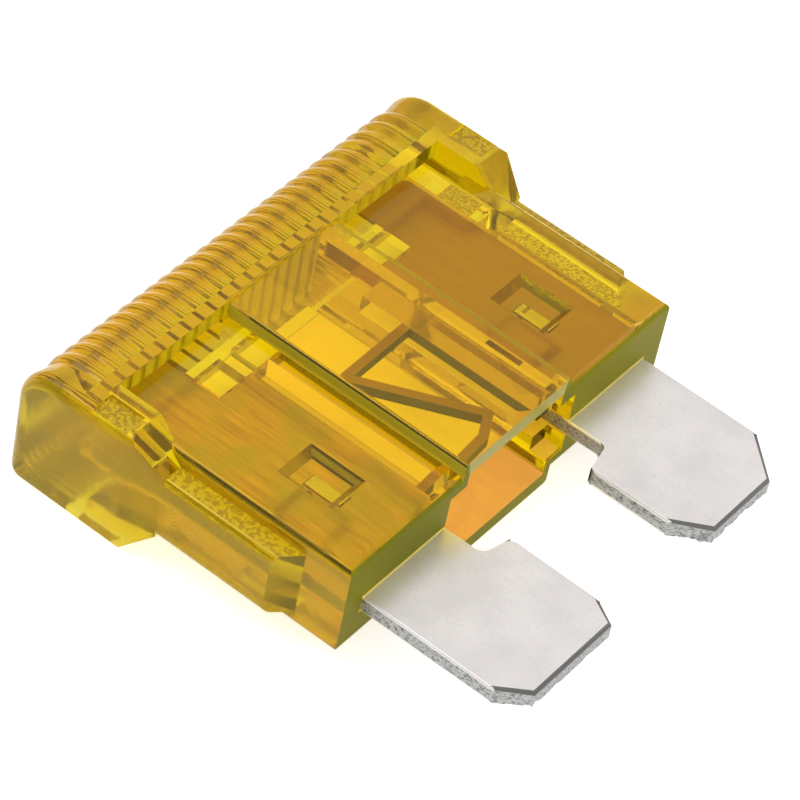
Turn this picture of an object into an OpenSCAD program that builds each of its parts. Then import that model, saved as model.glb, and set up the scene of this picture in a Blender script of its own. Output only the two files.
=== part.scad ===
// Automotive blade fuse, regular size.
// Two pieces: a clear amber moulded housing and the one-piece stamped fuse
// element, whose two blades are joined by a thin link behind the windows.
// It lies on its back: X runs across the blades, Y from the blade tips up to
// the head, Z from the back to the front. Millimetres.

/* [Housing] */
// Width across the head
head_w = 19.1; // [18:0.1:22]
// Thickness of the head, front to back
head_t = 5.1; // [4.8:0.1:6]
// Height of the housing, from its bottom face to the top of the head
housing_h = 12.4; // [11.8:0.1:15]
// Width of the body below the head
body_w = 16.6; // [16.2:0.1:17.6]
// Thickness of the body over the blades
body_t = 3.8; // [3.4:0.1:4.4]
// Radius of the body's long edges and bottom edges
body_edge = 0.3; // [0.1:0.05:0.5]

/* [Head] */
// Height of the head over the blades, from its top down to the ledge
head_h = 2.8; // [2.5:0.1:3.2]
// Radius of the head's front top edge
head_round = 1.5; // [1.2:0.1:1.8]
// Radius of the head's back top edge
back_round = 0.55; // [0.5:0.05:1.5]
// Radius of the edges at the two ends of the head
end_round = 0.45; // [0.3:0.05:0.5]
// How far the ends of the head hang below the ledge, as ears
ear_drop = 1.65; // [1.2:0.05:2.2]
// Width of the shallow recess in the face of each ear
ear_recess_w = 0.85; // [0.5:0.05:0.9]
// Depth of that recess
ear_recess_d = 0.12; // [0.05:0.01:0.3]

/* [Grip ribs] */
// Number of ribs across the head
rib_count = 26; // [20:1:27]
// Distance from rib to rib
rib_pitch = 0.64; // [0.5:0.01:0.66]
// Depth of the grooves between the ribs
rib_depth = 0.14; // [0.08:0.02:0.3]
// How far the ribs run down the face, below the rounded top edge
rib_run = 0.8; // [0.4:0.1:1]

/* [Side flanges] */
// Width across the two side flanges
flange_w = 18.2; // [17.8:0.1:19]
// Thickness of the flanges
flange_t = 2.6; // [2:0.1:3.2]
// Height of the flanges' lower end above the bottom face
flange_foot = 2.4; // [1.5:0.1:4]
// Length of the slanted run-out at the end of a flange
flange_slant = 0.7; // [0.4:0.1:1.2]

/* [Window] */
// Width of the raised window panel
window_w = 5.5; // [5:0.1:6]
// Thickness over the front and back window panels
window_t = 4.9; // [4.6:0.1:5]
// Thickness of each window pane
pane_t = 0.6; // [0.4:0.05:0.8]
// Width of the hollow behind the panes
hollow_w = 4.9; // [4.4:0.1:5]
// Height of the hollow, open at the bottom
hollow_h = 9.9; // [8.5:0.1:10.2]
// Width of the mouth at the bottom of the hollow
mouth_w = 6.5; // [6:0.1:6.6]
// Height of the mouth
mouth_h = 0.7; // [0.4:0.1:1.2]

/* [Blades] */
// Width over both blades
blade_span = 14.7; // [14.3:0.1:15.2]
// Width of one blade
blade_w = 5.25; // [4.8:0.05:5.6]
// Thickness of the sheet
blade_t = 0.65; // [0.5:0.05:0.8]
// Length of the blades below the housing
blade_len = 6.1; // [5:0.1:8]
// Distance of the sheet's middle behind the housing's middle
blade_back = 0.3; // [0:0.05:0.4]
// Depth of the step in each blade's inner edge
step_w = 1.15; // [0.9:0.05:1.4]
// Distance of the step below the housing
step_y = 1.5; // [1:0.05:3]
// How far the step falls towards the middle
step_slant = 0.25; // [0:0.05:0.5]
// Corners cut off the left blade's tip: outer width and length, inner width and length
left_tip = [0.8, 1.05, 0.5, 0.9];
// Corners cut off the right blade's tip: outer width and length, inner width and length
right_tip = [1.35, 1.5, 0.85, 1.3];
// Height of the blades inside the housing
tang_h = 10.3; // [9.8:0.1:10.6]
// Height at which the tang's inner corner is stepped back
tang_step_h = 7.9; // [7:0.1:8.6]
// Width of the part that is stepped back
tang_step_w = 1.65; // [1:0.05:2.2]
// Corner cut off the tang's outer top
tang_corner = 0.4; // [0.2:0.05:0.6]
// Radius of the rounded step in the left blade's inner edge
left_step_r = 0.4; // [0.15:0.05:0.5]
// Radius of the rounded step in the right blade's inner edge
right_step_r = 0.2; // [0.15:0.05:0.5]

/* [Link] */
// Width of the link's strip
link_w = 0.34; // [0.25:0.01:0.6]
// Thickness of the link
link_t = 0.4; // [0.3:0.05:0.5]
// Height of the link's left foot
link_low = 1.15; // [1:0.05:1.5]
// Where the lower run starts to rise: across and height
link_bend = [0.6, 1.45];
// Where the lower run turns back: across and height
link_turn = [1.5, 1.95];
// Where the slanted run turns back: across and height
link_back = [-0.65, 6.15];
// Height of the link's upper right corner
link_top = 6.2; // [5:0.1:7.5]
// Height at which the leg turns to the right tang, and that of its foot
leg_end = [1.6, 1];
// Gap between the link's leg and the right blade
link_gap = 0.32; // [0.2:0.02:0.5]

/* [Staking] */
// Width of a staking pit at the face
pit_w = 1.7; // [1.4:0.05:2]
// Height of a staking pit at the face
pit_h = 2.2; // [1.8:0.05:2.6]
// Height of the pits' middle above the bottom face
pit_y = 3.15; // [2.8:0.05:4.5]
// Distance of a pit's middle from the middle of the pair
pit_x = 5.4; // [5.2:0.05:5.6]
// How far the staking tool stood off to the right of the fuse's middle
pit_shift = -0.5; // [-0.5:0.05:0.3]
// Depth of a pit
pit_d = 0.25; // [0.15:0.05:0.6]
// Slope of the pit's walls, as width lost on each side
pit_draft = 0.3; // [0.1:0.05:0.4]
// Width of the opening in the tang, which the staked plastic fills
stake_w = 0.6; // [0.4:0.1:1.4]
// Height of that opening
stake_h = 1.5; // [0.8:0.1:1.8]

/* [Fit] */
// Clearance between the sheet metal and the housing
fit = 0.05; // [0.03:0.01:0.08]

/* [Hidden] */
$fn = 48;
// Overlap that keeps touching solids joined
eps = 0.01;
// How far a cut runs on past the face it opens
past = 1;
// Step to which the turned outline's points are rounded, so that solids meet on the same points
grain = 0.001;
// One rib's outline, as shares of its pitch and its depth
rib_shape = [[0.97, 1], [0.78, 0.35], [0.5, 0.1], [0.22, 0.35], [0.03, 1]];
// The head's rounded end in straight runs, as steps back from a square corner in depth and width
turn = [for (a = [90 : -18 : 0]) [for (v = [sin(a), cos(a)]) round((v - 1) * end_round / grain) * grain]];
turn_back = [for (i = [len(turn) - 1 : -1 : 0]) turn[i]];
amber = [0.93, 0.72, 0.18, 0.75];
tin = [0.82, 0.81, 0.79];
overall_h = housing_h + blade_len;
foot_y = blade_len - overall_h / 2;
mid_z = head_t / 2;
sheet_z = mid_z - blade_back;
ledge_y = housing_h - head_h;
ear_y = ledge_y - ear_drop;
ear_slope = (head_t - flange_t) / 2;
rib_y = housing_h - head_round - rib_run;
outer_x = blade_span / 2;
inner_x = outer_x - blade_w;
neck_x = inner_x + step_w;
slot_t = blade_t + 2 * fit;
leg_x = neck_x - link_gap - link_w / 2;

// The same shape on the left and on the right
module both_sides() {
  children();
  mirror([1, 0, 0]) children();
}

// The same shape on the front and on the back
module both_faces() {
  children();
  mirror([0, 0, 1]) children();
}

// A block from y0 up to y1, with its four long edges rounded
module rounded_block(w, t, y0, y1, r) {
  translate([0, y1, 0]) rotate([90, 0, 0]) linear_extrude(y1 - y0) {
    square([w - 2 * r, t], center = true);
    square([w, t - 2 * r], center = true);
    for (x = [-1, 1], y = [-1, 1])
      translate([x * (w / 2 - r), y * (t / 2 - r)]) circle(r);
  }
}

// An outline in height and depth, run across the fuse
module across(width) {
  translate([-width / 2, 0, 0]) rotate([90, 0, 90]) linear_extrude(width) children();
}

// A wedge that narrows in depth by draft on each side, from z1 down to z0
module tapered(w, h, draft, z0, z1) {
  intersection() {
    rotate([90, 0, 0]) translate([0, 0, -h]) linear_extrude(2 * h)
      polygon([[-w / 2, z1], [w / 2, z1], [w / 2 - draft, z0], [draft - w / 2, z0]]);
    across(2 * w)
      polygon([[-h / 2, z1], [h / 2, z1], [h / 2 - draft, z0], [draft - h / 2, z0]]);
  }
}

// Ribbed strip of the head's skin, depth in x and length in y, all in straight runs
module rib_profile(depth) {
  plain = (head_w - rib_count * rib_pitch) / 2;
  half = head_w / 2;
  polygon(concat(
    [[0, -half], [0, half]],
    [for (p = turn_back) [depth + p[0], half + p[1]]],
    [for (i = [rib_count - 1 : -1 : 0], p = rib_shape)
      [depth - rib_depth * p[1], plain - half + (i + p[0]) * rib_pitch]],
    [for (p = turn) [depth + p[0], -half - p[1]]]
  ));
}

// The head's smooth outline, run from y0 up to y1
module head_block(y0, y1) {
  half = [head_t / 2, head_w / 2];
  translate([0, y1, 0]) rotate([90, 0, 0]) linear_extrude(y1 - y0)
    polygon(concat(
      [for (p = turn) [half[1] + p[1], half[0] + p[0]]],
      [for (p = turn_back) [half[1] + p[1], -half[0] - p[0]]],
      [for (p = turn) [-half[1] - p[1], -half[0] - p[0]]],
      [for (p = turn_back) [-half[1] - p[1], half[0] + p[0]]]
    ));
}

// Ribbed front face of the head and its rounded top edge of radius r
module grip_face(r) {
  edge_y = housing_h - r;
  translate([0, edge_y, head_t / 2 - r]) rotate([0, 90, 0]) rotate([0, 0, 90])
    rotate_extrude(angle = 90) rib_profile(r);
  translate([0, edge_y, 0]) rotate([90, 0, 0]) rotate([0, 0, 90])
    linear_extrude(edge_y - rib_y) rib_profile(head_t / 2);
}

// The ribbed top of the head: a flat crown between the front and the back
module grip() {
  translate([0, housing_h - head_round, back_round - head_t / 2]) rotate([0, 0, 90])
    linear_extrude(head_t - head_round - back_round) rib_profile(head_round);
  grip_face(head_round);
  mirror([0, 0, 1]) grip_face(back_round);
}

// The ears at both ends of the head, which slope in to the flanges
module ears() {
  intersection() {
    head_block(ear_y - ear_slope, ledge_y);
    across(head_w)
      polygon([[ledge_y, -head_t / 2], [ledge_y, head_t / 2], [ear_y, head_t / 2],
        [ear_y - ear_slope, flange_t / 2], [ear_y - ear_slope, -flange_t / 2], [ear_y, -head_t / 2]]);
    translate([0, 0, -head_t / 2]) linear_extrude(head_t) both_sides()
      polygon([[body_w / 2 - body_edge, ledge_y], [head_w / 2, ledge_y], [head_w / 2, ear_y],
        [flange_w / 2, ear_y - ear_slope], [body_w / 2 - body_edge, ear_y - ear_slope]]);
  }
}

// The shallow rough recess in the face of each ear
module ear_recesses() {
  rim = (head_w - body_w) / 2 - ear_recess_w;
  both_sides() both_faces()
    translate([body_w / 2 + rim / 2, ear_y + rim / 2, head_t / 2 - ear_recess_d])
      cube([ear_recess_w, ear_drop - rim / 2 - 0.1, head_t]);
}

// The flanges along both sides of the body
module flanges() {
  intersection() {
    rounded_block(flange_w, flange_t, flange_foot - flange_slant, ledge_y, body_edge);
    translate([0, 0, -flange_t / 2]) linear_extrude(flange_t) both_sides()
      polygon([[0, ledge_y], [flange_w / 2, ledge_y], [flange_w / 2, flange_foot],
        [body_w / 2, flange_foot - flange_slant], [0, flange_foot - flange_slant]]);
  }
}

// The body over the blades, with its lower edges rounded
module body_block() {
  intersection() {
    rounded_block(body_w, body_t, 0, ledge_y, body_edge);
    across(body_w) {
      translate([body_edge, -body_t / 2]) square([ledge_y, body_t]);
      translate([0, body_edge - body_t / 2]) square([ledge_y, body_t - 2 * body_edge]);
      for (side = [-1, 1]) translate([body_edge, side * (body_t / 2 - body_edge)]) circle(body_edge);
    }
  }
}

// The hollow behind the panes, with a wider mouth at the bottom
module hollow() {
  hollow_t = window_t - 2 * pane_t;
  mouth_t = body_t - 2 * pane_t;
  translate([-hollow_w / 2, -past, -hollow_t / 2]) cube([hollow_w, hollow_h + past, hollow_t]);
  translate([-mouth_w / 2, -past, -mouth_t / 2]) cube([mouth_w, mouth_h + past, mouth_t]);
}

// The slot that holds the element, open at the bottom and to the hollow
module element_slot() {
  slot_x = outer_x + fit;
  tang_x = neck_x + tang_step_w - fit;
  translate([0, 0, -blade_back - slot_t / 2]) {
    translate([-slot_x, -past, 0]) cube([2 * slot_x, tang_step_h + fit + past, slot_t]);
    both_sides() translate([tang_x, -past, 0]) cube([slot_x - tang_x, tang_h + fit + past, slot_t]);
  }
}

// The plastic that staking has pressed through each tang's opening
module stakes() {
  both_sides() translate([pit_x, pit_y, -blade_back])
    cube([stake_w - 2 * fit, stake_h - 2 * fit, slot_t + 2 * eps], center = true);
}

// The pits that the staking tool leaves, front and back
module staking_pits() {
  for (x = [pit_shift - pit_x, pit_shift + pit_x]) both_faces() translate([x, pit_y, 0])
    tapered(pit_w, pit_h, pit_draft, body_t / 2 - pit_d, body_t / 2 + eps);
}

module housing() {
  color(amber) translate([0, foot_y, mid_z]) difference() {
    union() {
      difference() {
        union() {
          grip();
          head_block(ledge_y, rib_y);
          ears();
          flanges();
          body_block();
          rounded_block(window_w, window_t, 0, ledge_y, body_edge / 2);
        }
        hollow();
        element_slot();
      }
      stakes();
    }
    staking_pits();
    ear_recesses();
  }
}

// What lies between a corner p, with legs along a and b, and a circle of radius r that touches both legs
module corner_fill(p, a, b, r) {
  half = acos(a * b) / 2;
  middle = p + r / sin(half) * (a + b) / norm(a + b);
  reach = r / tan(half);
  difference() {
    polygon([p, p + reach * a, middle, p + reach * b]);
    translate(middle) circle(r);
  }
}

// One blade and its tang, on the right; tip gives the corners cut off, step_r the step's radius
module blade(tip, step_r) {
  neck_corner = [neck_x, -step_y];
  step_corner = [inner_x, -step_y - step_slant];
  fall = (step_corner - neck_corner) / norm(step_corner - neck_corner);
  difference() {
    union() {
      polygon([[outer_x, tip[1] - blade_len], [outer_x - tip[0], -blade_len], [inner_x + tip[2], -blade_len],
        [inner_x, tip[3] - blade_len], step_corner, neck_corner, [neck_x, tang_step_h],
        [neck_x + tang_step_w, tang_step_h], [neck_x + tang_step_w, tang_h],
        [outer_x - tang_corner, tang_h], [outer_x, tang_h - tang_corner]]);
      corner_fill(neck_corner, [0, 1], fall, step_r);
    }
    corner_fill(step_corner, [0, -1], -fall, step_r);
    translate([pit_x, pit_y]) square([stake_w, stake_h], center = true);
  }
}

// A straight piece of the link, with round ends
module link_run(from, to) {
  run = to - from;
  translate(from) rotate(atan2(run[1], run[0])) translate([0, -link_w / 2]) square([norm(run), link_w]);
  translate(from) circle(link_w / 2);
  translate(to) circle(link_w / 2);
}

// The link, from the foot of the left tang to the foot of the right one
module link() {
  path = [[-neck_x - link_w, link_low], link_bend, link_turn, link_back, [leg_x, link_top],
    [leg_x, leg_end[0]], [neck_x + link_w, leg_end[1]]];
  for (i = [1 : len(path) - 1]) link_run(path[i - 1], path[i]);
}

module fuse_element() {
  color(tin) translate([0, foot_y, sheet_z]) {
    translate([0, 0, -blade_t / 2]) linear_extrude(blade_t) {
      blade(right_tip, right_step_r);
      mirror([1, 0]) blade(left_tip, left_step_r);
    }
    translate([0, 0, -link_t / 2]) linear_extrude(link_t) link();
  }
}

housing();
fuse_element();
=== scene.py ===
import math

import bmesh
import bpy
from mathutils import Matrix, Vector, noise


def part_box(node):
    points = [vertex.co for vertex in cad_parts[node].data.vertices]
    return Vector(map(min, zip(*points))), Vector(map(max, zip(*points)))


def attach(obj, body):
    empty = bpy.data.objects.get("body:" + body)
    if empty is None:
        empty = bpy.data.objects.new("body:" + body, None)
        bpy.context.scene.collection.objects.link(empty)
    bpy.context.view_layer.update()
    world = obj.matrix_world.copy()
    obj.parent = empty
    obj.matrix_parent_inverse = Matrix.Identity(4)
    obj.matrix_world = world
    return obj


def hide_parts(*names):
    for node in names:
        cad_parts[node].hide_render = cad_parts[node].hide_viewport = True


mm = 0.001
flatAngle = math.radians(1.0)  # neighbouring triangles that lie flatter become one face
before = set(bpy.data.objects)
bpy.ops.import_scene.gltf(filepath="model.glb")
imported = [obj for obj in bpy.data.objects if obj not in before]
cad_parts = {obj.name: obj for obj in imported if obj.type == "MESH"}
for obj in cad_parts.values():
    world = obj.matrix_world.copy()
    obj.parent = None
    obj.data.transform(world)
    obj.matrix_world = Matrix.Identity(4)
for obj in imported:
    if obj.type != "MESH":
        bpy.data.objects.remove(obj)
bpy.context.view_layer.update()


# Shader helpers

def newMaterial(name):
    mat = bpy.data.materials.new(name)
    mat.use_nodes = True
    mat.node_tree.nodes.clear()
    return mat, mat.node_tree


def addNode(tree, kind, **values):
    node = tree.nodes.new(kind)
    for key, value in values.items():
        if hasattr(node, key):
            setattr(node, key, value)
        else:
            node.inputs[key.replace("_", " ")].default_value = value
    return node


def connect(tree, source, output, target, socket):
    tree.links.new(source.outputs[output], target.inputs[socket])


def objectPlace(tree, scale=(1.0, 1.0, 1.0)):
    coords = addNode(tree, "ShaderNodeTexCoord")
    mapping = addNode(tree, "ShaderNodeMapping", Scale=scale)
    connect(tree, coords, "Object", mapping, "Vector")
    return mapping.outputs["Vector"]


def placeAxes(tree):
    split = addNode(tree, "ShaderNodeSeparateXYZ")
    tree.links.new(objectPlace(tree), split.inputs["Vector"])
    return split.outputs


def noiseAt(tree, size, stretch=(1.0, 1.0, 1.0), detail=3.0):
    texture = addNode(tree, "ShaderNodeTexNoise", Scale=1.0 / size, Detail=detail)
    tree.links.new(objectPlace(tree, stretch), texture.inputs["Vector"])
    return texture.outputs["Fac"]


def rangeOf(tree, value, low, high, toLow=0.0, toHigh=1.0):
    spread = addNode(tree, "ShaderNodeMapRange")
    tree.links.new(value, spread.inputs["Value"])
    for socket, number in zip(("From Min", "From Max", "To Min", "To Max"), (low, high, toLow, toHigh)):
        spread.inputs[socket].default_value = number
    return spread.outputs["Result"]


def combine(tree, operation, first, second):
    joined = addNode(tree, "ShaderNodeMath", operation=operation)
    tree.links.new(first, joined.inputs[0])
    tree.links.new(second, joined.inputs[1])
    return joined.outputs["Value"]


def mixColor(tree, factor, first, second):
    mix = addNode(tree, "ShaderNodeMix", data_type="RGBA")
    tree.links.new(factor, mix.inputs[0])
    for socket, color in ((mix.inputs[6], first), (mix.inputs[7], second)):
        if isinstance(color, tuple):
            socket.default_value = color
        else:
            tree.links.new(color, socket)
    return mix.outputs[2]


def bumpFrom(tree, height, depth):
    bump = addNode(tree, "ShaderNodeBump", Distance=depth)
    tree.links.new(height, bump.inputs["Height"])
    return bump.outputs["Normal"]


def seenRays(tree, kinds):
    path = addNode(tree, "ShaderNodeLightPath")
    seen = path.outputs[kinds[0]]
    for kind in kinds[1:]:
        seen = combine(tree, "MAXIMUM", seen, path.outputs[kind])
    return seen


# Mesh helpers

def cleanCopy(nodeName, pieceName, mergeDistance):
    mesh = bpy.data.objects[nodeName].data.copy()
    mesh.materials.clear()
    bm = bmesh.new()
    bm.from_mesh(mesh)
    bmesh.ops.remove_doubles(bm, verts=bm.verts, dist=mergeDistance)
    bmesh.ops.dissolve_limit(bm, angle_limit=flatAngle, verts=bm.verts, edges=bm.edges)
    bm.to_mesh(mesh)
    bm.free()
    # finishPiece marks the sharp edges anew
    for name in ("custom_normal", "sharp_edge", "sharp_face"):
        if name in mesh.attributes:
            mesh.attributes.remove(mesh.attributes[name])
    piece = bpy.data.objects.new(pieceName, mesh)
    bpy.context.collection.objects.link(piece)
    return piece


def giveFaces(piece, mat, test):
    piece.data.materials.append(mat)
    slot = len(piece.data.materials) - 1
    for face in piece.data.polygons:
        corners = [piece.data.vertices[v].co / mm for v in face.vertices]
        if test(face.center / mm, face.normal, corners):
            face.material_index = slot


def bevelEdges(piece, width, segments, slot, test):
    bm = bmesh.new()
    bm.from_mesh(piece.data)
    chosen = [edge for edge in bm.edges if test(edge)]
    bmesh.ops.bevel(bm, geom=chosen, offset=width, segments=segments, profile=0.5, affect="EDGES",
                    material=slot)
    bm.to_mesh(piece.data)
    bm.free()


def finishPiece(piece, spec):
    for face in piece.data.polygons:
        face.use_smooth = True
    piece.data.set_sharp_from_angle(angle=math.radians(spec["sharpAngle"]))
    bevel = piece.modifiers.new("edgeRound", "BEVEL")
    bevel.width = spec["edgeWidth"]
    bevel.segments = spec["edgeSegments"]
    bevel.limit_method = "ANGLE"
    bevel.angle_limit = math.radians(spec["sharpAngle"])
    even = piece.modifiers.new("flatNormals", "WEIGHTED_NORMAL")
    even.mode = "FACE_AREA"
    even.weight = 100
    even.keep_sharp = True
    return bevel


# Camera

cameraSpec = {
    "place": (-86.906 * mm, -47.882 * mm, 104.789 * mm),
    "right": (0.61396, -0.77500, 0.14978),
    "up": (0.50301, 0.53038, 0.68241),
    "back": (-0.60831, -0.34363, 0.71546),
    "lens": 202.19,
    "sensor": 36.0,
    "clip": (0.001, 10.0),
}


def makeCamera(spec):
    data = bpy.data.cameras.new("camera")
    data.lens = spec["lens"]
    data.sensor_width = spec["sensor"]
    data.clip_start, data.clip_end = spec["clip"]
    camera = bpy.data.objects.new("camera", data)
    bpy.context.collection.objects.link(camera)
    turn = Matrix([spec["right"], spec["up"], spec["back"]]).transposed()
    camera.matrix_world = Matrix.Translation(Vector(spec["place"])) @ turn.to_4x4()
    bpy.context.scene.camera = camera


makeCamera(cameraSpec)
print("camera placed")

# Floor and light

white = (1.0, 1.0, 1.0, 1.0)

studio = {
    "floorSize": 1.2,
    "floorColor": (0.9, 0.9, 0.9, 1.0),
    "floorGlow": 0.44,   # seen in or through a piece
    "floorWhite": 0.60,  # seen by the camera
    "skyLow": 0.30,
    "skyHigh": 0.80,
    "skyRise": 0.7,      # height at which the sky reaches skyHigh
    "lamps": [
        # name, place, size, power
        ("keyLamp", (-0.10, 0.16, 0.22), 0.16, 0.16),
        ("sideLamp", (0.22, -0.05, 0.16), 0.14, 0.05),
    ],
}


def makeFloor(spec):
    bm = bmesh.new()
    bmesh.ops.create_grid(bm, x_segments=1, y_segments=1, size=spec["floorSize"] / 2)
    mesh = bpy.data.meshes.new("floor")
    bm.to_mesh(mesh)
    bm.free()
    floor = bpy.data.objects.new("floor", mesh)
    bpy.context.collection.objects.link(floor)
    mat, tree = newMaterial("paperWhite")
    paper = addNode(tree, "ShaderNodeBsdfDiffuse", Color=spec["floorColor"])
    glow = addNode(tree, "ShaderNodeEmission", Color=white)
    mirrored = seenRays(tree, ["Is Glossy Ray", "Is Transmission Ray"])
    direct = seenRays(tree, ["Is Camera Ray"])
    level = combine(tree, "ADD", rangeOf(tree, mirrored, 0.0, 1.0, 0.0, spec["floorGlow"]),
                    rangeOf(tree, direct, 0.0, 1.0, 0.0, spec["floorWhite"]))
    tree.links.new(level, glow.inputs["Strength"])
    both = addNode(tree, "ShaderNodeAddShader")
    tree.links.new(paper.outputs["BSDF"], both.inputs[0])
    tree.links.new(glow.outputs["Emission"], both.inputs[1])
    out = addNode(tree, "ShaderNodeOutputMaterial")
    connect(tree, both, "Shader", out, "Surface")
    mesh.materials.append(mat)


def makeSky(spec):
    world = bpy.data.worlds.new("studio")
    bpy.context.scene.world = world
    world.use_nodes = True
    tree = world.node_tree
    tree.nodes.clear()
    coords = addNode(tree, "ShaderNodeTexCoord")
    split = addNode(tree, "ShaderNodeSeparateXYZ")
    connect(tree, coords, "Generated", split, "Vector")
    sky = addNode(tree, "ShaderNodeBackground", Color=white)
    rise = rangeOf(tree, split.outputs["Z"], 0.0, spec["skyRise"], spec["skyLow"], spec["skyHigh"])
    tree.links.new(rise, sky.inputs["Strength"])
    plain = addNode(tree, "ShaderNodeBackground", Color=white)
    mix = addNode(tree, "ShaderNodeMixShader")
    tree.links.new(seenRays(tree, ["Is Camera Ray", "Is Transmission Ray"]), mix.inputs[0])
    tree.links.new(sky.outputs["Background"], mix.inputs[1])
    tree.links.new(plain.outputs["Background"], mix.inputs[2])
    out = addNode(tree, "ShaderNodeOutputWorld")
    connect(tree, mix, "Shader", out, "Surface")


def makeLamps(spec):
    for name, place, size, power in spec["lamps"]:
        data = bpy.data.lights.new(name, "AREA")
        data.shape = "SQUARE"
        data.size = size
        data.energy = power
        lamp = bpy.data.objects.new(name, data)
        lamp.location = place
        lamp.rotation_euler = (-Vector(place)).to_track_quat("-Z", "Y").to_euler()
        bpy.context.collection.objects.link(lamp)


makeFloor(studio)
makeSky(studio)
makeLamps(studio)
bpy.context.scene.view_settings.view_transform = "Standard"
print("floor and light ready")

# Housing

goldenShine = (1.0, 0.82, 0.45, 1.0)
yellowShine = (1.0, 0.75, 0.05, 1.0)

housingSpec = {
    "mergeDistance": 0.0004 * mm,
    "rimRound": 0.25 * mm,
    "rimSegments": 5,
    "edgeWidth": 0.05 * mm,
    "edgeSegments": 2,
    "sharpAngle": 38,
    # moulded plastic
    "ior": 1.54,
    "absorb": (0.982, 0.962, 0.25, 1.0),
    "density": 1000.0,
    "lampTint": (1.0, 0.97, 0.85, 1.0),
    "finishes": {
        "clearAmber": {
            "tint": (1.0, 0.79, 0.035, 1.0), "shine": goldenShine, "through": 0.985, "rough": 0.03,
            # painted light: this band turns the lower end of the back pane orange, standing in for the light
            # seen through the plastic there
            "bands": [((0.88, 0.42, 0.17, 1.0), [("Z", 0.75, 0.95, 1.0, 0.0), ("Y", -1.4, -1.0, 1.0, 0.0)])],
        },
        "ribbedAmber": {
            "tint": (0.84, 0.52, 0.03, 1.0), "shine": goldenShine, "through": 0.93, "rough": 0.14,
            # painted shade: the first band darkens the ribs to brown towards the head's rounded top; the
            # second band turns them olive towards the head's foot
            "bands": [((0.36, 0.20, 0.015, 1.0), [("Y", 8.6, 9.2, 0.0, 1.0)]),
                      ((0.66, 0.62, 0.02, 1.0), [("Y", 7.0, 7.7, 1.0, 0.0)])],
        },
        "sideAmber": {
            "tint": (1.0, 0.74, 0.03, 1.0), "shine": yellowShine, "through": 0.80, "rough": 0.22,
            "grain": (0.5, 0.02),
        },
        "footAmber": {
            "tint": (0.42, 0.46, 0.015, 1.0), "shine": yellowShine, "through": 0.6, "rough": 0.6,
            "grain": (0.12, 0.02),
        },
        "wallAmber": {
            "tint": (0.78, 0.68, 0.05, 1.0), "shine": goldenShine, "through": 0.4, "rough": 0.3,
            "grain": (0.3, 0.01),
        },
        "grainedAmber": {
            "tint": (1.0, 0.74, 0.03, 1.0), "shine": goldenShine, "through": 0.75, "rough": 0.2,
            "grain": (0.08, 0.05),
            # painted glitter: dark specks among the bright plastic stand in for the glints and shade of the
            # stippled face
            "paintedGlitterTint": (0.55, 0.36, 0.03, 1.0),
            "paintedGlitter": {"size": 0.13, "detail": 1.0, "low": 0.47, "high": 0.56},
        },
        "pitAmber": {
            "tint": (0.80, 0.56, 0.04, 1.0), "shine": goldenShine, "through": 0.88, "rough": 0.08,
        },
    },
    # where each finish lies, in mm, and how far a face's normal leans
    "facing": 0.9,
    "leaning": 0.6,
    "middle": 2.55,
    "headDepth": 2.8,
    "headEnd": 1.0,
    "sideDepth": 1.3,
    "footDepth": 0.1,
    "coreHalf": 1.85,
    "panelHalf": 1.8,
    "panelSide": (2.6, 2.9),
    "flangeAcross": (8.2, 9.0),
    "flangeAlong": (-1.5, 3.6),
    "earAcross": 8.4,
    "earAlong": (4.7, 6.7),
    "pitAcross": (3.9, 7.0),
    "pitAlong": 1.3,
    "pitHeights": [(0.66, 0.9), (4.2, 4.44)],
    "rimAcross": 9.05,
    "rimAlong": 3.6,
    "rimHeights": (1.25, 3.85),
    "rimWithin": 0.01,
    "rimAngle": 1.0,
}


def patchShare(tree, patch):
    pattern = noiseAt(tree, patch["size"] * mm, patch.get("stretch", (1.0, 1.0, 1.0)), patch["detail"])
    return rangeOf(tree, pattern, patch["low"], patch["high"], 0.0, patch.get("most", 1.0))


def bandShare(tree, bands):
    axes = placeAxes(tree)
    total = None
    for axis, low, high, atLow, atHigh in bands:
        share = rangeOf(tree, axes[axis], low * mm, high * mm, atLow, atHigh)
        total = share if total is None else combine(tree, "MULTIPLY", total, share)
    return total


def amberPlastic(spec, name):
    finish = spec["finishes"][name]
    mat, tree = newMaterial(name)
    body = addNode(tree, "ShaderNodeBsdfPrincipled", Base_Color=finish["tint"], Roughness=finish["rough"],
                   IOR=spec["ior"], Specular_Tint=finish["shine"], Transmission_Weight=finish["through"])
    color = finish["tint"]
    for tint, bands in finish.get("bands", []):
        color = mixColor(tree, bandShare(tree, bands), color, tint)
    # painted glitter: dark specks on the stippled faces stand in for their glints and shade
    if "paintedGlitter" in finish:
        color = mixColor(tree, patchShare(tree, finish["paintedGlitter"]), color, finish["paintedGlitterTint"])
    if color is not finish["tint"]:
        tree.links.new(color, body.inputs["Base Color"])
    if "grain" in finish:
        size, depth = finish["grain"]
        grain = noiseAt(tree, size * mm, detail=1.0)
        tree.links.new(bumpFrom(tree, grain, depth * mm), body.inputs["Normal"])
    # lamps and diffuse light pass straight through
    clear = addNode(tree, "ShaderNodeBsdfTransparent", Color=spec["lampTint"])
    mix = addNode(tree, "ShaderNodeMixShader")
    tree.links.new(seenRays(tree, ["Is Shadow Ray", "Is Diffuse Ray"]), mix.inputs[0])
    tree.links.new(body.outputs["BSDF"], mix.inputs[1])
    tree.links.new(clear.outputs["BSDF"], mix.inputs[2])
    inside = addNode(tree, "ShaderNodeVolumeAbsorption", Color=spec["absorb"], Density=spec["density"])
    out = addNode(tree, "ShaderNodeOutputMaterial")
    connect(tree, mix, "Shader", out, "Surface")
    connect(tree, inside, "Volume", out, "Volume")
    return mat


def within(value, limits):
    return limits[0] < value < limits[1]


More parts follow.
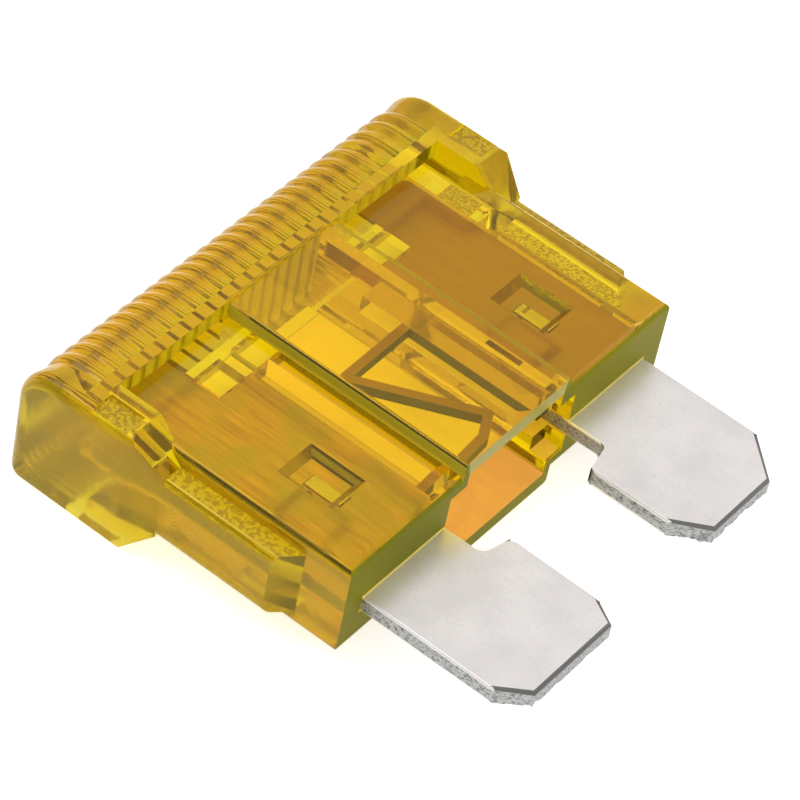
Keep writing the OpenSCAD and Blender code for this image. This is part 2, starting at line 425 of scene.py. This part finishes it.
def roundFlangeRims(piece, spec):
    def onRim(edge):
        a, b = (v.co / mm for v in edge.verts)
        away = min(abs(a.z - height) for height in spec["rimHeights"])
        level = abs(a.z - b.z) < spec["rimWithin"] and away < spec["rimWithin"]
        outer = min(abs(a.x), abs(b.x)) > spec["rimAcross"] and max(a.y, b.y) < spec["rimAlong"]
        return level and outer and edge.is_manifold and edge.calc_face_angle() > spec["rimAngle"]

    bevelEdges(piece, spec["rimRound"], spec["rimSegments"], -1, onRim)


def finishHousingFaces(piece, spec):
    low, high = (Vector(corner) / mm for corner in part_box("housing"))

    def onHead(c, n, corners):
        return c.y > high.y - spec["headDepth"] and abs(c.x) < high.x - spec["headEnd"]

    def onSide(c, n, corners):
        return abs(n.x) > spec["leaning"] and abs(c.x) > high.x - spec["sideDepth"]

    def atFoot(c, n):
        return n.y < -spec["leaning"] and c.y < low.y + spec["footDepth"]

    def onFoot(c, n, corners):
        return atFoot(c, n) and abs(c.z - spec["middle"]) < spec["coreHalf"]

    def onPanelWall(c, n, corners):
        height = abs(c.z - spec["middle"])
        side = abs(n.x) > spec["facing"] and within(abs(c.x), spec["panelSide"])
        return side and height > spec["panelHalf"] or atFoot(c, n) and height > spec["coreHalf"]

    def onGrain(c, n, corners):
        flange = within(abs(c.x), spec["flangeAcross"]) and within(c.y, spec["flangeAlong"])
        ear = abs(c.x) > spec["earAcross"] and within(c.y, spec["earAlong"])
        return abs(n.z) > spec["facing"] and (flange or ear)

    def inPit(c, n, corners):
        near = within(abs(c.x), spec["pitAcross"]) and abs(c.y) < spec["pitAlong"]
        deep = any(within(c.z, limits) for limits in spec["pitHeights"])
        return near and deep and abs(n.z) < spec["facing"]

    piece.data.materials.append(amberPlastic(spec, "clearAmber"))
    places = [("ribbedAmber", onHead), ("sideAmber", onSide), ("footAmber", onFoot),
              ("wallAmber", onPanelWall), ("grainedAmber", onGrain), ("pitAmber", inPit)]
    for name, test in places:
        giveFaces(piece, amberPlastic(spec, name), test)


def makeHousing(spec):
    piece = cleanCopy("housing", "clearHousing", spec["mergeDistance"])
    roundFlangeRims(piece, spec)
    finishHousingFaces(piece, spec)
    finishPiece(piece, spec)
    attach(piece, "root")
    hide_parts("housing")


makeHousing(housingSpec)
print("housing ready")

# Fuse element

elementSpec = {
    "mergeDistance": 0.0004 * mm,
    "edgeWidth": 0.06 * mm,
    "edgeSegments": 3,
    "sharpAngle": 38,
    "bodyFoot": -3.15 * mm,     # the blades stand out of the housing below this
    "tipReach": 1.7 * mm,
    "flatWithin": 0.01 * mm,
    "straightWithin": 0.05 * mm,
    "longerThan": 1.0 * mm,
    "widerThan": 0.1 * mm,
    "sideRound": 0.09 * mm,
    "sideSegments": 4,
    "rollWidth": 0.12 * mm,
    "rollSegments": 5,
    "linkInset": 0.1 * mm,
    "upright": 0.3,             # a face whose normal rises less than this is a wall
    # torn lower tip edge
    "tearCuts": 18,
    "tearDepth": 0.08 * mm,
    "tearCoarse": 0.35 * mm,
    "tearFine": 0.13 * mm,
    "tearLeast": 0.3,
    "tipMiddle": (4.7 * mm, -7.0 * mm),
    "tornLean": 0.4,
    "mostCorners": 8,
    "burr": 0.14 * mm,
    "burrSize": 0.2 * mm,
    "burrAcross": 3.0 * mm,
    # tinned strip, outside the housing
    "tinMetallic": 0.75,
    "tinRoughness": 0.34,
    "tinGrain": (0.09, 0.002),
    "bladeLight": (0.99, 0.94, 0.91, 1.0),
    "bladeDark": (0.88, 0.835, 0.81, 1.0),
    "bladeSpeck": (0.66, 0.63, 0.61, 1.0),
    "clouds": {"size": 1.6, "detail": 5.0, "low": 0.35, "high": 0.7},
    "pits": {"size": 0.07, "detail": 4.0, "low": 0.55, "high": 0.75, "most": 0.5},
    "scratches": {"size": 0.10, "stretch": (1.0, 0.04, 1.0), "detail": 2.0, "low": 0.60, "high": 0.72,
                  "most": 0.14},
    # the same strip where it lies in the plastic
    "tangLight": (0.86, 0.66, 0.40, 1.0),
    "tangDark": (0.46, 0.28, 0.11, 1.0),
    "tangGreen": (0.50, 0.56, 0.22, 1.0),
    "streaks": {"size": 0.16, "stretch": (1.0, 0.07, 1.0), "detail": 6.0, "low": 0.36, "high": 0.70,
                "most": 0.7},
    "patches": {"size": 2.4, "detail": 4.0, "low": 0.45, "high": 0.62, "most": 0.65},
    # painted shade: the right tang is darkened towards tangDark
    "rightTangShade": ("X", 1.0, 4.0, 0.0, 0.8),
    "tangStart": ("Y", -3.2, -2.85, 0.0, 1.0),
    # cut edges and link: color, roughness, grain size and depth
    "sheared": ((0.52, 0.53, 0.52, 1.0), 0.5, (0.05, 0.02)),
    "tornDark": (0.20, 0.20, 0.195, 1.0),
    "torn": {"size": 0.12, "stretch": (1.0, 1.0, 2.0), "detail": 5.0, "low": 0.48, "high": 0.62},
    # painted shade: the link's top and walls get darker colours than the strip, so that it shows dark
    # outlines
    "linkTopShade": ((0.42, 0.27, 0.12, 1.0), 0.45, (0.08, 0.004)),
    "linkWallShade": ((0.14, 0.15, 0.06, 1.0), 0.5, (0.08, 0.004)),
    # painted shade: the rolled tip edge is given a near-black colour
    "rolledShade": ((0.20, 0.195, 0.19, 1.0), 0.4, (0.1, 0.004)),
}


def metalMaterial(name, color, roughness, grain):
    mat, tree = newMaterial(name)
    body = addNode(tree, "ShaderNodeBsdfPrincipled", Base_Color=color, Metallic=1.0, Roughness=roughness)
    size, depth = grain
    tree.links.new(bumpFrom(tree, noiseAt(tree, size * mm), depth * mm), body.inputs["Normal"])
    out = addNode(tree, "ShaderNodeOutputMaterial")
    connect(tree, body, "BSDF", out, "Surface")
    return mat, tree, body


def tinnedZinc(spec):
    mat, tree, body = metalMaterial("tinnedZinc", spec["bladeLight"], spec["tinRoughness"], spec["tinGrain"])
    body.inputs["Metallic"].default_value = spec["tinMetallic"]
    blade = mixColor(tree, patchShare(tree, spec["clouds"]), spec["bladeLight"], spec["bladeDark"])
    blade = mixColor(tree, patchShare(tree, spec["pits"]), blade, spec["bladeSpeck"])
    blade = mixColor(tree, patchShare(tree, spec["scratches"]), blade, spec["bladeSpeck"])
    tang = mixColor(tree, patchShare(tree, spec["streaks"]), spec["tangLight"], spec["tangDark"])
    tang = mixColor(tree, patchShare(tree, spec["patches"]), tang, spec["tangGreen"])
    # painted shade: darker towards the right tang
    tang = mixColor(tree, bandShare(tree, [spec["rightTangShade"]]), tang, spec["tangDark"])
    inside = bandShare(tree, [spec["tangStart"]])
    tree.links.new(mixColor(tree, inside, blade, tang), body.inputs["Base Color"])
    return mat


def shearedEdge(spec):
    mat, tree, body = metalMaterial("shearedEdge", *spec["sheared"])
    torn = patchShare(tree, spec["torn"])
    tree.links.new(mixColor(tree, torn, spec["sheared"][0], spec["tornDark"]), body.inputs["Base Color"])
    return mat


def finishElementFaces(piece, spec):
    low, high = (Vector(corner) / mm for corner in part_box("fuse_element"))

    def onCut(c, n, corners):
        return abs(n.z) < spec["upright"] and min(p.y for p in corners) < spec["bodyFoot"] / mm

    def onLink(c, n, corners):
        inset = spec["linkInset"] / mm
        return min(p.z for p in corners) > low.z + inset and max(p.z for p in corners) < high.z - inset

    def onLinkWall(c, n, corners):
        return abs(n.z) < spec["upright"] and onLink(c, n, corners)

    piece.data.materials.append(tinnedZinc(spec))
    giveFaces(piece, shearedEdge(spec), onCut)
    # painted shade on the link: a darker top and near-black walls
    giveFaces(piece, metalMaterial("linkTopShade", *spec["linkTopShade"])[0], onLink)
    giveFaces(piece, metalMaterial("linkWallShade", *spec["linkWallShade"])[0], onLinkWall)


def tearTipEdges(piece, spec):
    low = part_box("fuse_element")[0]
    middleX, middleY = spec["tipMiddle"]
    bm = bmesh.new()
    bm.from_mesh(piece.data)
    torn = []
    for edge in bm.edges:
        a, b = (v.co for v in edge.verts)
        atTip = max(a.y, b.y) < low[1] + spec["tipReach"] and abs(a.x - b.x) > spec["widerThan"]
        if atTip and max(a.z, b.z) < low[2] + spec["flatWithin"]:
            torn.append(edge)
    cut = bmesh.ops.subdivide_edges(bm, edges=torn, cuts=spec["tearCuts"])
    for vert in (item for item in cut["geom_inner"] if isinstance(item, bmesh.types.BMVert)):
        place = vert.co
        rough = noise.noise(place / spec["tearCoarse"]) + 0.5 * noise.noise(place / spec["tearFine"])
        away = Vector((place.x - math.copysign(middleX, place.x), place.y - middleY, 0)).normalized()
        place += away * spec["tearDepth"] * min(0.0, rough - spec["tearLeast"])
        # a small burr at the inner corners only
        if abs(place.x) < spec["burrAcross"] and place.y > low[1] + spec["widerThan"]:
            shape = noise.noise(place / spec["burrSize"] + Vector((3, 1, 0)))
            place += away * spec["burr"] * max(0.0, shape)
    # the walls under the torn edge have too many corners to stay one face
    walls = [f for f in bm.faces if abs(f.normal.z) < spec["tornLean"] and len(f.verts) > spec["mostCorners"]]
    bmesh.ops.triangulate(bm, faces=walls)
    bm.to_mesh(piece.data)
    bm.free()


def roundLongEdges(piece, spec, slot):
    low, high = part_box("fuse_element")

    def onLongSide(edge):
        a, b = (v.co for v in edge.verts)
        long = abs(a.y - b.y) > spec["longerThan"] and abs(a.x - b.x) < spec["straightWithin"]
        onTop = min(a.z, b.z) > high[2] - spec["flatWithin"]
        onBack = max(a.z, b.z) < low[2] + spec["flatWithin"]
        return long and (onTop or onBack) and min(a.y, b.y) < spec["bodyFoot"]

    bevelEdges(piece, spec["sideRound"], spec["sideSegments"], slot, onLongSide)


def rollTipEdges(piece, spec, slot):
    low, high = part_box("fuse_element")

    def onTip(edge):
        a, b = (v.co for v in edge.verts)
        atTip = max(a.y, b.y) < low[1] + spec["tipReach"] and abs(a.x - b.x) > spec["widerThan"]
        return atTip and min(a.z, b.z) > high[2] - spec["flatWithin"]

    bevelEdges(piece, spec["rollWidth"], spec["rollSegments"], slot, onTip)


def makeElement(spec):
    piece = cleanCopy("fuse_element", "stampedElement", spec["mergeDistance"])
    finishElementFaces(piece, spec)
    # painted shade: a near-black colour on the rolled tip edge
    piece.data.materials.append(metalMaterial("rolledEdgeShade", *spec["rolledShade"])[0])
    tearTipEdges(piece, spec)
    roundLongEdges(piece, spec, 0)
    rollTipEdges(piece, spec, len(piece.data.materials) - 1)
    finishPiece(piece, spec).material = 0
    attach(piece, "root")
    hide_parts("fuse_element")


makeElement(elementSpec)
print("fuse element ready")
